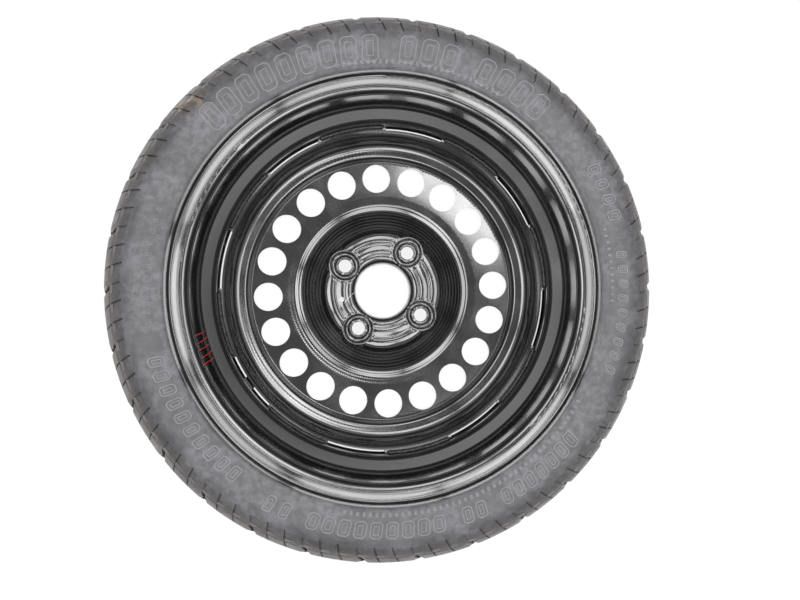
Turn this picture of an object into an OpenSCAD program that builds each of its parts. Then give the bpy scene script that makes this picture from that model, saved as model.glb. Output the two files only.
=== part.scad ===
// Space saver spare wheel: a narrow temporary use tyre on a welded, pressed steel wheel.
// Lengths are in millimetres. +Z is the wheel's axis and points inboard, to the hub.
// The origin is on the axis, in the face that the hub's flange clamps.

/* [Rim] */
// Bead seat diameter, 15 inch nominal
rim_d = 380.2; // [378:0.1:384]
// Rim width between the flanges, 4 inch
rim_w = 101.6; // [98:0.1:110]
// Distance from the hub face to the middle of the rim
inset = 40; // [36:0.5:44]
// Thickness of the rim's sheet
rim_t = 2.8; // [2.2:0.1:3.2]
// Height of the flange above the bead seat
flange_h = 17.5; // [16.5:0.1:19]
// How far the flange's rolled edge stands out past the bead's side of the flange
flange_lip = 6.8; // [6:0.1:9]
// Slope of the bead seats in degrees
seat_slope = 5; // [4:0.5:6]
// Inside radius of the drop well
well_r = 170; // [168:0.5:171]
// Outboard end of the well, from the hub face
well_low = 30.5; // [28:0.5:33]
// Inboard end of the well, from the hub face
well_high = 51; // [48:0.5:54]
// Lean of the well's inboard side wall in degrees
well_lean = 35; // [28:1:40]
// Bend radius of the well's inboard corners
well_bend = 8; // [5:0.5:9]
// Bend radius where the seat turns into the flange
seat_bend = 6.4; // [4:0.2:8]

/* [Disc] */
// Thickness of the disc's sheet
disc_t = 3.2; // [2.8:0.1:3.6]
// Radius of the centre bore
bore_r = 30.05; // [27:0.05:33]
// Depth of the collar round the bore, from the hub face
collar_h = 14; // [11:0.5:15]
// Bend radius of the collar
collar_bend = 7; // [5:0.5:8]
// Radius of the hub pad's edge
pad_r = 63.5; // [61:0.5:65]
// Radius of the trough round the hub pad
trough_r = 96.5; // [94:0.5:98]
// Depth of the trough's sheet below the hub face
trough_z = 19; // [16:0.5:19.5]
// Radius where the vented band ends
band_r = 146.5; // [145:0.5:148]
// Depth of the vented band's outer edge below the hub face
band_z = 14.6; // [12:0.2:16]
// Radius where the outer ring starts
ring_r = 151.5; // [150.5:0.5:153]
// Depth of the outer ring's inner edge below the hub face
ring_z = 8.4; // [7:0.2:10]
// Depth of the outer ring's outer edge below the hub face
wall_z = 4; // [2:0.5:6]
// Height of the disc's wall above the hub face
wall_top = 42; // [39:0.5:45]
// Bend radius from the outer ring into the wall
wall_bend = 7; // [5:0.5:9]

/* [Disc holes] */
// Radius of the stud circle
stud_pcr = 50; // [49:0.1:54]
// Number of studs
stud_n = 4; // [4:1:5]
// Direction of the first stud in degrees
stud_a = 57.1; // [0:0.1:90]
// Radius of a stud hole
stud_r = 7.25; // [6.5:0.05:7.5]
// Depth of the cone that seats a nut
nut_seat_h = 2; // [1:0.1:2.4]
// Number of round vent holes
vent_n = 20; // [16:1:20]
// Radius of the vent circle
vent_pcr = 127.8; // [126:0.1:129]
// Radius of a vent hole
vent_r = 15.7; // [12:0.1:16]
// Radius of the circle of the index hole
index_pcr = 47; // [46:0.5:49]
// Radius of the index hole
index_r = 3; // [2:0.1:3.5]

/* [Welds] */
// Number of weld runs, with a pressed slot between each two
weld_n = 8; // [4:1:8]
// Angle that one slot spans in degrees
slot_span = 20.5; // [14:0.5:22]
// Depth of a slot, from the disc's outer face
slot_h = 2.1; // [1:0.1:2.4]
// Height of the weld's leg on the rim
weld_h = 4.6; // [3:0.1:6]
// Angle that one weld leaves free at each of its ends in degrees
weld_end = 0.8; // [0.2:0.1:2]

/* [Tyre] */
// Radius over the tread
tyre_r = 276; // [272:0.5:279]
// Section width
tyre_w = 125; // [122:0.5:128]
// Radius where the section is widest
wide_r = 231; // [227:0.5:235]
// Half width of the crown, where the shoulder starts
crown_half = 13.5; // [12:0.5:15]
// Half width at the shoulder's inner corner
shoulder_half = 38.5; // [37:0.5:41]
// Drop of the shoulder's inner corner below the crown
shoulder_drop = 8.4; // [7:0.2:10]
// Half width at the shoulder's outer corner
buttress_half = 61.2; // [59:0.2:62]
// Drop of the shoulder's outer corner below the crown
buttress_drop = 26; // [24:0.5:28]
// Thickness of the crown with its tread
crown_t = 13; // [11:0.5:15]
// Thickness of the sidewall where the section is widest
side_t = 6.9; // [5.5:0.1:8]
// Width of a bead
bead_w = 13.5; // [11:0.5:15]
// Depth of the tread's grooves
tread_h = 5; // [3:0.5:6]
// Width of the grooves round the tread
groove_w = 6; // [4:0.5:8]
// Distance between the grooves round the tread
groove_gap = 18; // [14:0.5:20]
// Number of cross cuts round each shoulder
cut_n = 30; // [24:1:48]
// Width of a cross cut
cut_w = 3; // [2:0.2:4]
// Lean of the cross cuts in degrees
cut_lean = 14; // [0:1:20]

/* [Valve] */
// Distance of the valve hole from the wheel's axis
valve_pcr = 176.8; // [176.6:0.1:177]
// Slot that the valve stands beside, counted from the first stud
valve_slot = 3; // [0:1:7]
// Radius of the valve hole
valve_hole_r = 5.65; // [5.6:0.01:5.8]
// Radius of the rubber foot and shoulder
foot_r = 6.4; // [6.2:0.1:6.5]
// Height of the valve above the rim's outboard face
valve_out = 22; // [20:0.5:26]
// Length of brass that stands out of the rubber
thread_h = 9.5; // [9:0.5:11]
// Radius over the stem's outer thread
thread_r = 3.85; // [3.8:0.01:3.9]
// Radius of the core's chamber in the stem
chamber_r = 2.5; // [2.4:0.05:2.6]
// Radius of the air way below the core
air_r = 1.65; // [1.5:0.05:1.7]
// Radius of the core's pin
pin_r = 0.65; // [0.5:0.05:0.7]
// Outside radius of the cap
cap_r = 4.75; // [4.6:0.05:5]
// Thickness of the cap's top
cap_top = 1.5; // [1:0.1:2]

/* [Clearances] */
// Gap between the tyre's beads and the rim
bead_gap = 0.25; // [0.15:0.05:0.3]
// Gap between the disc's wall and the rim well
wall_gap = 0.1; // [0.05:0.05:0.3]
// Gap between fixed pieces of the valve
valve_gap = 0.05; // [0.03:0.01:0.1]
// Gap between the cap and the stem's thread
cap_gap = 0.1; // [0.05:0.01:0.1]
// Gap between the pin and its guide in the core
pin_gap = 0.07; // [0.03:0.01:0.1]

/* [Hidden] */
$fn = 96;

paint = [0.09, 0.09, 0.1];
tread_rubber = [0.17, 0.17, 0.18];
brass = [0.72, 0.58, 0.3];
steel = [0.6, 0.61, 0.63];
black_rubber = [0.12, 0.12, 0.12];
cut_past = 1;
lap = 0.1;

// Rim, worked out from the bead seat
seat_r = rim_d / 2;
flange_side = rim_w / 2;
flange_r = seat_r + flange_h;
rim_half_t = rim_t / 2;
well_mid_r = well_r + rim_half_t;
lip_bend = flange_lip - rim_half_t;
leg_bend = 3;
seat_wall_run = 10.5;
leg_run = 2;
lip_past = 0.2;

// Radius of the seat's sheet, at a distance from the middle of the rim
function seat_mid(from_middle) =
  seat_r - (flange_side - from_middle) * tan(seat_slope) - rim_half_t / cos(seat_slope);

// The inboard side wall of the well meets the seat's sheet at this height
seat_foot_r = seat_mid(well_high + seat_wall_run - inset);
high_lean_z = well_high + (seat_foot_r - well_mid_r) * tan(well_lean);

// The outboard side wall of the well is flat and carries the valve
leg_foot_r = seat_mid(inset - well_low + leg_run);

// Middle line of the rim's sheet, [radius, height, bend radius]
rim_path = [
  [flange_r - rim_half_t, inset + flange_side + flange_lip + lip_past, 0],
  [flange_r - rim_half_t, inset + flange_side + rim_half_t, lip_bend],
  [seat_mid(flange_side + rim_half_t), inset + flange_side + rim_half_t, seat_bend],
  [seat_foot_r, high_lean_z, well_bend],
  [well_mid_r, well_high, well_bend],
  [well_mid_r, well_low, leg_bend],
  [leg_foot_r, well_low, leg_bend],
  [seat_mid(flange_side + rim_half_t), inset - flange_side - rim_half_t, seat_bend],
  [flange_r - rim_half_t, inset - flange_side - rim_half_t, lip_bend],
  [flange_r - rim_half_t, inset - flange_side - flange_lip - lip_past, 0]
];

// Valve seat: a shallow spot face in the well's outboard side wall, with room for
// the rubber foot in a bulge of the well's floor
leg_face_z = well_low + rim_half_t;
spot_h = 0.2;
spot_r = foot_r + 0.1;
spot_top = well_high - 7;
spot_room_h = spot_top - leg_face_z + spot_h;
bulge_h = 1.4;
bulge_span = 4.6;
bulge_sink = 0.3;
bulge_edge = 0.7;

// Disc, worked out from the hub face and the rim well
disc_half_t = disc_t / 2;
disc_r = well_r - wall_gap;
wall_mid_r = disc_r - disc_half_t;
edge_bend = 3.2;
pad_bend = 4.5;
trough_bend = 12;

// Middle line of the disc's sheet, [radius, height, bend radius]
disc_path = [
  [bore_r + disc_half_t, -collar_h, 0],
  [bore_r + disc_half_t, -disc_half_t, collar_bend],
  [pad_r, -disc_half_t, pad_bend],
  [trough_r, -trough_z, trough_bend],
  [band_r, -band_z, edge_bend],
  [ring_r, -ring_z, edge_bend],
  [wall_mid_r, -wall_z, wall_bend],
  [wall_mid_r, wall_top, 0]
];

// Slots and welds
slot_pitch = 360 / weld_n;
weld_span = slot_pitch - slot_span;
valve_a = stud_a + (valve_slot + 0.5) * slot_pitch;
slot_floor_r = disc_r - slot_h;
weld_foot_r = disc_r - 0.875 * disc_t;
weld_hollow_r = 1.22 * weld_h;
weld_toe = 0.13 * weld_h;

// Tyre, worked out from the rim
tyre_half = tyre_w / 2;
liner_r = tyre_r - crown_t;
bead_heel_half = flange_side - bead_gap;
bead_toe_half = bead_heel_half - bead_w;
lip_centre = [flange_r - rim_half_t - lip_bend, flange_side + rim_half_t + lip_bend];
shoulder_r = tyre_r - shoulder_drop;
buttress_r = tyre_r - buttress_drop;
shoulder_run = [buttress_r - shoulder_r, buttress_half - shoulder_half];
crown_run = [shoulder_r - tyre_r, shoulder_half - crown_half];
rim_strip = [0.8, 0.4];
low_wall_drop = 19;
liner_low_drop = 22;
room_depth = 20;
heel_round = 4;

// Outside of the tyre's section, [radius, distance from the middle, corner radius]
tyre_side = [
  [tyre_r, crown_half, 83],
  [shoulder_r, shoulder_half, 71],
  [buttress_r, buttress_half, 33],
  [wide_r, tyre_half, 34],
  [wide_r - low_wall_drop, tyre_half - 2, 14],
  [flange_r + rim_strip.x, lip_centre.y + rim_strip.y, 0],
  [seat_r - 12, lip_centre.y + rim_strip.y, 0]
];

// Inside of the tyre's section, [radius, distance from the middle, corner radius]
liner_side = [
  [liner_r, crown_half, 60],
  [liner_r - 7, shoulder_half - 1.5, 30],
  [wide_r + 8, tyre_half - side_t - 0.8, 20],
  [wide_r - 6, tyre_half - side_t, 20],
  [wide_r - liner_low_drop, tyre_half - side_t - 7, 20],
  [seat_r + 8, bead_toe_half + 3, 10],
  [seat_r - 14, bead_toe_half, 0]
];

// Valve heights, from the seat of the rubber foot and out along the valve
pad_h = rim_t - spot_h;
stem_top = pad_h + valve_out;
rubber_top = stem_top - thread_h;
foot_h = 3.2;
stem_r = 2.6;
seal_ring_h = 1.4;
chamber_floor = 13.8;
core_top = stem_top - 0.8;
core_r = chamber_r - valve_gap;
nose_h = 0.8;
nose_floor = chamber_floor - nose_h;
spring_seat = chamber_floor + 3.2;
spring_r = 1.5;
pin_collar = core_top - 1.8;
pin_top = stem_top - 0.4;
spring_wire_r = 0.16;
cup_h = 1;
cup_r = air_r - 0.2;
cup_seal_h = 0.6;
cap_bore_r = thread_r + cap_gap;
cap_low = rubber_top + 0.6;
seal_h = 0.9;
seal_low = stem_top + 0.1;
grip_n = 12;

function unit(v) = v / norm(v);
function flat(p) = [p.x, p.y];
function turned(a, b, c) = let (u = flat(b) - flat(a), v = flat(c) - flat(b)) atan2(cross(u, v), u * v);
function reversed(list) = [for (i = [len(list) - 1:-1:0]) list[i]];
function mirrored(list) = [for (p = reversed(list)) [p.x, -p.y, p.z]];

// Side of a sheet at the distance h left of its middle line
function sheet_side(path, h) = [
  for (i = [0:len(path) - 1])
    let (
      before = flat(path[max(i - 1, 0)]),
      here = flat(path[i]),
      after = flat(path[min(i + 1, len(path) - 1)]),
      u = i > 0 ? unit(here - before) : unit(after - here),
      v = i < len(path) - 1 ? unit(after - here) : u,
      n = [-u.y, u.x],
      m = [-v.y, v.x],
      p = here + h * (n + m) / (1 + n * m)
    )
    [p.x, p.y, path[i].z > 0 ? path[i].z - sign(cross(u, v)) * h : 0]
];

// Outline of a sheet of thickness t along its middle line
function sheet_outline(path, t) = concat(sheet_side(path, -t / 2), reversed(sheet_side(path, t / 2)));

function point(pts, i) = pts[(i + len(pts)) % len(pts)];

// Length that corner i's full arc takes from each of its two edges
function full_run(pts, i) =
  point(pts, i).z * tan(abs(turned(point(pts, i - 1), point(pts, i), point(pts, i + 1))) / 2);

// Share of their full radius that the two corners of the edge after corner i can have
function edge_share(pts, i) =
  norm(flat(point(pts, i + 1)) - flat(point(pts, i))) / max(full_run(pts, i) + full_run(pts, i + 1), lap);

function corner_r(pts, i) = pts[i].z * min(1, edge_share(pts, i - 1), edge_share(pts, i));

// Corner i of a closed outline: [start of the arc, end of the arc, centre, turn, radius]
function corner(pts, i) =
  let (
    here = flat(pts[i]),
    turn = turned(point(pts, i - 1), pts[i], point(pts, i + 1)),
    back = unit(flat(point(pts, i - 1)) - here),
    on = unit(flat(point(pts, i + 1)) - here),
    r = corner_r(pts, i),
    run = r * tan(abs(turn) / 2),
    away = r / cos(turn / 2)
  )
  [here + run * back, here + run * on, here + away * unit(back + on), turn, r];

// Outline with true arcs at its corners, each point [x, y, corner radius], counterclockwise
module rounded_outline(pts) {
  ends = [
    for (i = [0:len(pts) - 1])
      each (pts[i].z > 0 ? [corner(pts, i)[0], corner(pts, i)[1]] : [flat(pts[i])])
  ];
  difference() {
    union() {
      polygon(ends);
      for (i = [0:len(pts) - 1]) if (pts[i].z > 0 && corner(pts, i)[3] > 0) corner_bulge(pts, i);
    }
    for (i = [0:len(pts) - 1]) if (pts[i].z > 0 && corner(pts, i)[3] < 0) corner_bulge(pts, i);
  }
}

// Piece of the circle that rounds corner i, between its arc and its chord
module corner_bulge(pts, i) {
  c = corner(pts, i);
  out = flat(pts[i]) - c[2];
  back = -lap * unit(out);
  intersection() {
    translate(c[2]) circle(r = c[4]);
    polygon([c[0] + back, c[0] + out, c[1] + out, c[1] + back]);
  }
}

// Ring sector between two radii and two heights, as a cutter, centred on the direction a
module sector(r_in, r_out, low, high, a, span) {
  rotate([0, 0, a - span / 2]) rotate_extrude(angle = span)
    translate([r_in, low]) square([r_out - r_in, high - low]);
}

// One half of a tyre section from its middle, mirrored to the whole and cut to the rim
module tyre_section() {
  difference() {
    rounded_outline(concat(mirrored(tyre_side), tyre_side));
    rounded_outline(concat(mirrored(liner_side), liner_side));
    rim_room();
    mirror([0, 1]) rim_room();
    for (i = [-1:1]) translate([tyre_r - tread_h, i * groove_gap - groove_w / 2])
      square([tread_h + cut_past, groove_w]);
  }
}

// Room that the tyre leaves for one side of the rim
module rim_room() {
  seat_edge = seat_r + bead_gap;
  toe_drop = (bead_w + cut_past) * tan(seat_slope);
  room_half = max(tyre_half, lip_centre.y) + cut_past;
  polygon([
    [seat_r - room_depth, bead_toe_half - cut_past],
    [seat_edge - toe_drop, bead_toe_half - cut_past],
    [seat_edge - heel_round * tan(seat_slope), bead_heel_half - heel_round],
    [seat_edge + heel_round, bead_heel_half],
    [lip_centre.x, bead_heel_half],
    [lip_centre.x, room_half],
    [seat_r - room_depth, room_half]
  ]);
  translate(lip_centre) circle(r = lip_bend + rim_half_t + bead_gap);
  translate([lip_centre.x - cut_past, lip_centre.y])
    square([flange_r + bead_gap - lip_centre.x + cut_past, tyre_half]);
}

module tyre() {
  color(tread_rubber) difference() {
    translate([0, 0, inset]) rotate_extrude() tyre_section();
    for (side = [-1, 1], i = [0:cut_n - 1])
      translate([0, 0, inset]) rotate([0, 0, (i + (side > 0 ? 0 : 0.5)) * 360 / cut_n]) cross_cut(side);
  }
}

// Cross cut over one shoulder: one run on the crown's slope and one over the shoulder
module cross_cut(side) {
  crown_lean = atan2(-crown_run.x, crown_run.y);
  shoulder_lean = atan2(-shoulder_run.x, shoulder_run.y);
  crown_mid = [tyre_r, crown_half] + crown_run * 0.78;
  shoulder_mid = [shoulder_r, shoulder_half] + shoulder_run * 0.5;
  run_cut(side, crown_mid, crown_lean, norm(crown_run) * 0.62, tread_h);
  run_cut(side, shoulder_mid, shoulder_lean, norm(shoulder_run) * 1.1, tread_h - 1);
}

// Straight cutter that lies in a slope of the section
module run_cut(side, mid, lean, length, depth) {
  translate([mid.x, 0, side * mid.y]) rotate([0, -side * lean, 0]) rotate([side * cut_lean, 0, 0])
    translate([-depth, -cut_w / 2, -length / 2]) cube([depth + 8, cut_w, length]);
}

module rim() {
  color(paint) difference() {
    union() {
      rotate_extrude() rounded_outline(sheet_outline(rim_path, rim_t));
      valve_bulge();
    }
    valve_place() translate([0, 0, -spot_room_h]) cylinder(r = spot_r, h = spot_room_h);
    valve_place() translate([0, 0, -cut_past]) cylinder(r = valve_hole_r, h = pad_h + 2 * cut_past);
  }
}

// Puts a valve piece at its hole, with its own Z pointing out along the valve
module valve_place() {
  rotate([0, 0, valve_a])
    translate([valve_pcr, 0, leg_face_z - spot_h])
      rotate([0, 180, 0])
        children();
}

// Bulge of the well that gives the valve's foot its room
module valve_bulge() {
  sector(well_r - bulge_h, well_r + rim_t - bulge_sink, well_low - bulge_edge, spot_top + bulge_h,
    valve_a, bulge_span);
}

module wheel_disc() {
  color(paint) difference() {
    rotate_extrude() rounded_outline(sheet_outline(disc_path, disc_t));
    slot_cuts();
    vent_holes();
    stud_holes();
    index_hole();
  }
}

module stud_places() {
  for (i = [0:stud_n - 1]) rotate([0, 0, stud_a + i * 360 / stud_n]) translate([stud_pcr, 0, 0]) children();
}

// Stud holes, each with a 60 degree cone for its nut on the outboard face
module stud_holes() {
  stud_places() {
    translate([0, 0, -disc_t - cut_past]) cylinder(r = stud_r, h = disc_t + 2 * cut_past);
    translate([0, 0, -disc_t - cut_past])
      cylinder(r1 = stud_r + (nut_seat_h + cut_past) * tan(30), r2 = stud_r, h = nut_seat_h + cut_past);
  }
}

// Pressed slots between the welds
module slot_cuts() {
  for (i = [0:weld_n - 1])
    sector(slot_floor_r, disc_r + cut_past, -wall_z - disc_t, wall_top + cut_past,
      stud_a + (i + 0.5) * slot_pitch, slot_span);
}

module vent_holes() {
  for (i = [0:vent_n - 1])
    rotate([0, 0, stud_a + i * 360 / vent_n])
      translate([vent_pcr, 0, -trough_z - disc_t]) cylinder(r = vent_r, h = trough_z + disc_t);
}

module index_hole() {
  rotate([0, 0, stud_a + 1.5 * 360 / stud_n])
    translate([index_pcr, 0, -disc_t - cut_past]) cylinder(r = index_r, h = disc_t + 2 * cut_past);
}

// Fillet weld number i on the disc's edge, against the rim well
module weld_bead(i) {
  rim_side = well_r - wall_gap / 2;
  color(paint)
    rotate([0, 0, stud_a + (i - 1) * slot_pitch - weld_span / 2 + weld_end])
      rotate_extrude(angle = weld_span - 2 * weld_end)
        difference() {
          polygon([
            [weld_foot_r, wall_top],
            [rim_side, wall_top],
            [rim_side, wall_top + weld_h],
            [rim_side - weld_toe, wall_top + weld_h]
          ]);
          translate([weld_foot_r - 0.74 * weld_h, wall_top + 1.52 * weld_h]) circle(r = weld_hollow_r);
        }
}

module valve_body() {
  color(black_rubber) valve_place() rotate_extrude() rounded_outline([
    [stem_r + valve_gap, -foot_h, 0],
    [foot_r - 1, -foot_h, 0.8],
    [foot_r, -1, 0.8],
    [foot_r, 0, 0],
    [valve_hole_r - valve_gap, 0, 0],
    [valve_hole_r - valve_gap, pad_h + valve_gap, 0],
    [foot_r - 0.2, pad_h + valve_gap, 0.7],
    [foot_r - 0.2, pad_h + 2.4, 1],
    [foot_r - 1.1, rubber_top - 3.5, 3],
    [foot_r - 1.6, rubber_top, 0.6],
    [stem_r + valve_gap, rubber_top, 0]
  ]);
}

module valve_stem() {
  color(brass) valve_place() rotate_extrude() polygon([
    [air_r, -foot_h],
    [stem_r, -foot_h],
    [stem_r, rubber_top + valve_gap],
    [thread_r, rubber_top + valve_gap],
    [thread_r, stem_top - 0.5],
    [thread_r - 0.5, stem_top],
    [chamber_r, stem_top],
    [chamber_r, chamber_floor],
    [air_r, chamber_floor]
  ]);
}

module valve_core() {
  color(brass) valve_place() rotate_extrude() polygon([
    [pin_r + pin_gap, nose_floor],
    [air_r - valve_gap, nose_floor],
    [air_r - valve_gap, chamber_floor + seal_ring_h + valve_gap],
    [core_r, chamber_floor + seal_ring_h + valve_gap],
    [core_r, core_top],
    [spring_r + 0.2, core_top],
    [spring_r + 0.2, spring_seat],
    [pin_r + pin_gap, spring_seat]
  ]);
}

module valve_core_seal() {
  color(black_rubber) valve_place() translate([0, 0, chamber_floor]) difference() {
    cylinder(r = core_r, h = seal_ring_h);
    translate([0, 0, -cut_past]) cylinder(r = air_r, h = seal_ring_h + 2 * cut_past);
  }
}

module valve_pin() {
  color(brass) valve_place() union() {
    translate([0, 0, nose_floor - cup_seal_h - cup_h]) cylinder(r = cup_r, h = cup_h);
    translate([0, 0, nose_floor - cup_seal_h - cup_h]) cylinder(r = pin_r, h = pin_top - nose_floor + cup_seal_h + cup_h);
    translate([0, 0, pin_collar]) cylinder(r = spring_r, h = 0.6);
  }
}

module valve_cup_seal() {
  color(black_rubber) valve_place() translate([0, 0, nose_floor - cup_seal_h]) difference() {
    cylinder(r = cup_r - 0.05, h = cup_seal_h);
    translate([0, 0, -cut_past]) cylinder(r = pin_r, h = cup_seal_h + 2 * cut_past);
  }
}

// Spring as its closed turns, between the core's floor and the pin's collar
module valve_spring() {
  turn_r = spring_r - spring_wire_r - 0.1;
  coil_h = pin_collar - spring_seat;
  color(steel) valve_place() translate([0, 0, spring_seat]) difference() {
    cylinder(r = turn_r + spring_wire_r, h = coil_h);
    translate([0, 0, -cut_past]) cylinder(r = turn_r - spring_wire_r, h = coil_h + 2 * cut_past);
  }
}

module valve_cap() {
  color([0.13, 0.13, 0.14]) valve_place() difference() {
    translate([0, 0, cap_low]) cylinder(r = cap_r, h = seal_low + seal_h + cap_top - cap_low);
    translate([0, 0, cap_low - cut_past]) cylinder(r = cap_bore_r, h = seal_low + seal_h - cap_low + cut_past);
    for (i = [0:grip_n - 1]) rotate([0, 0, i * 360 / grip_n])
      translate([cap_r + 0.2, 0, cap_low - cut_past]) cylinder(r = 0.6, h = thread_h);
  }
}

module cap_seal() {
  color(black_rubber) valve_place() translate([0, 0, seal_low]) difference() {
    cylinder(r = cap_bore_r - 0.05, h = seal_h);
    translate([0, 0, -cut_past]) cylinder(r = chamber_r - 0.6, h = seal_h - 0.4 + cut_past);
  }
}

tyre();
rim();
wheel_disc();
weld_bead(1);  // weld_bead_1
weld_bead(2);  // weld_bead_2
weld_bead(3);  // weld_bead_3
weld_bead(4);  // weld_bead_4
weld_bead(5);  // weld_bead_5
weld_bead(6);  // weld_bead_6
weld_bead(7);  // weld_bead_7
weld_bead(8);  // weld_bead_8
valve_body();
valve_stem();
valve_core();
valve_core_seal();
valve_pin();
valve_cup_seal();
valve_spring();
valve_cap();
cap_seal();
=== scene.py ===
import math

import bmesh
import bpy
import numpy as np
from mathutils import Matrix, Vector, geometry
from mathutils.bvhtree import BVHTree


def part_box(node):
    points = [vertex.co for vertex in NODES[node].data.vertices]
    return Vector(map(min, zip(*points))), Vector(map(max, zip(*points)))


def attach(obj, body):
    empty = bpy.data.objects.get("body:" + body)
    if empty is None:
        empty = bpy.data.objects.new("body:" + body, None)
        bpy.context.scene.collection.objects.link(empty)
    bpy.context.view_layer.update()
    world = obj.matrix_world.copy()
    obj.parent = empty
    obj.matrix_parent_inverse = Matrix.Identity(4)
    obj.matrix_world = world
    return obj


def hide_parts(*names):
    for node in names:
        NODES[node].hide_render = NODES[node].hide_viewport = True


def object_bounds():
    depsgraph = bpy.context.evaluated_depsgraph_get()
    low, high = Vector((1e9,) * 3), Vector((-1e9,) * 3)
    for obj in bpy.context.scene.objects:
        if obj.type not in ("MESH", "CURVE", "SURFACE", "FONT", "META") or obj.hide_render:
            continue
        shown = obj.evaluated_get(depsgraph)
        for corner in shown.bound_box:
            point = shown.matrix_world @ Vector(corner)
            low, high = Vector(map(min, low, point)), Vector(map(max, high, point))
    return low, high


bl_info = {
    "name": "Space Saver Spare Wheel",
    "version": (1, 0, 0),
    "blender": (4, 5, 0),
    "location": "3D View > Sidebar > Wheel",
    "description": "Dresses a space saver spare wheel: tyre, weld runs, paint, valve and stage",
    "category": "Object",
}

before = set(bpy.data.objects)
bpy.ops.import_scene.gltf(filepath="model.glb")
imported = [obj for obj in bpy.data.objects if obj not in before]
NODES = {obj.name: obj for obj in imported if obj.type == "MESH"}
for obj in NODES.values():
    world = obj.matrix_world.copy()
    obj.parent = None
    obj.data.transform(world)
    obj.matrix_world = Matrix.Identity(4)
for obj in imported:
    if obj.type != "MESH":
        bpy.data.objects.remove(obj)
CAD_BOX = [[float(c) for c in corner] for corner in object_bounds()]
MM = 0.001
BODY = "wheel"
WELDS = [n for n in sorted(NODES) if n.startswith("weld_bead_")]
LOW_TYRE, HIGH_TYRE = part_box("tyre")
# Height of the middle of the tread in the shared frame, in millimetres
INSET = 1000 * (LOW_TYRE[2] + HIGH_TYRE[2]) / 2


# Settings

def length_prop(name, description, millimetres):
    return bpy.props.FloatProperty(
        name=name, description=description, default=millimetres * MM, unit="LENGTH")


def number_prop(name, description, default, low, high):
    return bpy.props.FloatProperty(
        name=name, description=description, default=default, min=low, max=high)


def count_prop(name, description, default, low, high):
    return bpy.props.IntProperty(
        name=name, description=description, default=default, min=low, max=high)


def colour_prop(name, description, red, green, blue):
    return bpy.props.FloatVectorProperty(
        name=name, description=description, default=(red, green, blue), subtype="COLOR", size=3)


class TyreSettings(bpy.types.PropertyGroup):
    """Sizes and colours of the tyre"""

    pitches: count_prop("Pitches", "Number of tread pitches round the tyre", 30, 24, 48)
    cut_width: length_prop("Cut width", "Width of a cross cut", 4.2)
    cut_depth: length_prop("Cut depth", "Depth of a cross cut over the shoulder", 6.2)
    sipe_width: length_prop("Sipe width", "Width of the fine hooked cuts", 1.1)
    sipe_depth: length_prop("Sipe depth", "Depth of the fine hooked cuts", 2.2)
    mark_height: length_prop("Mark height", "How far the moulded marks stand out", 0.8)
    rubber: colour_prop("Rubber", "Colour of the rubber", 0.034, 0.0335, 0.036)
    dust: colour_prop("Dust", "Colour of the dust on the rubber", 0.118, 0.115, 0.127)
    # Brownish dust of the tread, mixed in darker than the sidewall: partly real dust, partly painted shade
    # where the sidewall's sheen falls off towards the tread
    tread_dust_and_shade: colour_prop("Tread dust and shade", "Colour of the dust and painted shade on the tread", 0.055, 0.051, 0.047)
    # Painted highlight: a pale colour laid over the moulded marks' outlines in place of the light their
    # raised edges catch
    painted_highlight: colour_prop("Painted highlight", "Colour of the marks' painted highlights", 0.21, 0.205, 0.22)
    scuff: colour_prop("Scuff", "Colour of the dry scuff on the shoulder", 0.24, 0.17, 0.11)


class PaintSettings(bpy.types.PropertyGroup):
    """Colours of the wheel"""

    black: colour_prop("Black", "Colour of the gloss black paint", 0.0055, 0.0053, 0.0058)
    haze: colour_prop("Haze", "Colour of the paint where it is hazed", 0.013, 0.0122, 0.0122)
    roughness: number_prop("Roughness", "Roughness of the paint", 0.13, 0.0, 1.0)
    pen: colour_prop("Pen", "Colour of the paint pen strokes", 0.42, 0.02, 0.02)


class DiscSettings(bpy.types.PropertyGroup):
    """Pressed relief of the disc's hub"""

    ridge_depth: length_prop("Ridge depth", "Depth pressed for each millimetre of HUB_RELIEF", 1.0)
    recess_depth: length_prop("Recess depth", "Depth of the recess about each stud hole", 3.4)
    recess_radius: length_prop("Recess radius", "Radius of the recess about each stud hole", 16.3)
    edge_roll: length_prop("Edge roll", "Rolled edge of the punched holes", 0.45)


class WeldSettings(bpy.types.PropertyGroup):
    """Sizes of the weld runs"""

    bead_radius: length_prop("Bead radius", "Radius of a weld bead", 2.3)
    ripples: count_prop("Ripples", "Ripples along one weld run", 34, 6, 60)
    unevenness: length_prop("Unevenness", "How uneven the bead is", 0.5)


class ValveSettings(bpy.types.PropertyGroup):
    """Colours of the valve"""

    brass: colour_prop("Brass", "Colour of the stem and core", 0.62, 0.44, 0.17)
    plastic: colour_prop("Plastic", "Colour of the cap", 0.02, 0.02, 0.021)


class StageSettings(bpy.types.PropertyGroup):
    """Floor, lamps and camera"""

    floor: colour_prop("Floor", "Colour of the floor", 0.86, 0.86, 0.86)
    focal: number_prop("Focal length", "Focal length in millimetres", 26.55, 10.0, 100.0)
    low_sky: number_prop("Low sky", "Strength of the surroundings near the floor", 0.12, 0.0, 2.0)
    high_sky: number_prop("High sky", "Strength of the surroundings overhead", 0.42, 0.0, 2.0)
    band_sky: number_prop("Sky band", "Strength of the bright band half way up", 1.3, 0.0, 4.0)
    lamp: number_prop("Lamp strength", "Strength of all the soft lamps", 1.0, 0.0, 4.0)


def settings(name):
    return getattr(bpy.context.scene, "spare_wheel_" + name)


# Meshes

def plain_object(name, mesh):
    obj = bpy.data.objects.new(name, mesh)
    bpy.context.scene.collection.objects.link(obj)
    return obj


def mesh_from(name, verts, faces, smooth=True):
    mesh = bpy.data.meshes.new(name)
    mesh.from_pydata([tuple(v) for v in verts], [], [tuple(f) for f in faces])
    mesh.validate()
    mesh.update()
    if smooth:
        mesh.polygons.foreach_set("use_smooth", [True] * len(mesh.polygons))
    return mesh


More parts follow.
